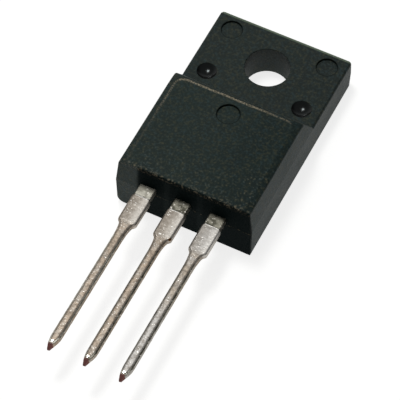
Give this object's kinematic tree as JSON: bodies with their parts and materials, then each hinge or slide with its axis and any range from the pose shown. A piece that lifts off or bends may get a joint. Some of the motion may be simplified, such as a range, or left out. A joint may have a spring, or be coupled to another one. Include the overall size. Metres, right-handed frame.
{
  "type": "transistor",
  "caption": "Flat moulded power transistor with a thin mounting tab, a screw hole through it, and a row of straight tinned leads in its thick end.",
  "frame": {"origin": "axis of the mounting hole, where it leaves the back face", "axes": "+Y from the hole towards the tab end, so the lead tips point along -Y; +Z out of the front; +X to the right for someone who looks at the front with the leads towards them; it lies on its back on the plane z = 0"},
  "size_m": [0.0098, 0.0292, 0.0046],
  "materials": {
    "moulding_compound": "black epoxy moulding compound, fine matte",
    "tinned_copper": "solder-dipped, warm grey, slightly uneven",
    "solder": "dull solder",
    "silicon": "polished dark grey",
    "bond_wire_aluminium": "drawn wire"
  },
  "bodies": {
    "root": {"moulded_case": "moulding_compound", "centre_lead_and_header": "tinned_copper", "left_lead": "tinned_copper", "right_lead": "tinned_copper", "die_solder": "solder", "silicon_die": "silicon", "left_bond_wire": "bond_wire_aluminium", "right_bond_wire": "bond_wire_aluminium"}
  },
  "joints": []
}
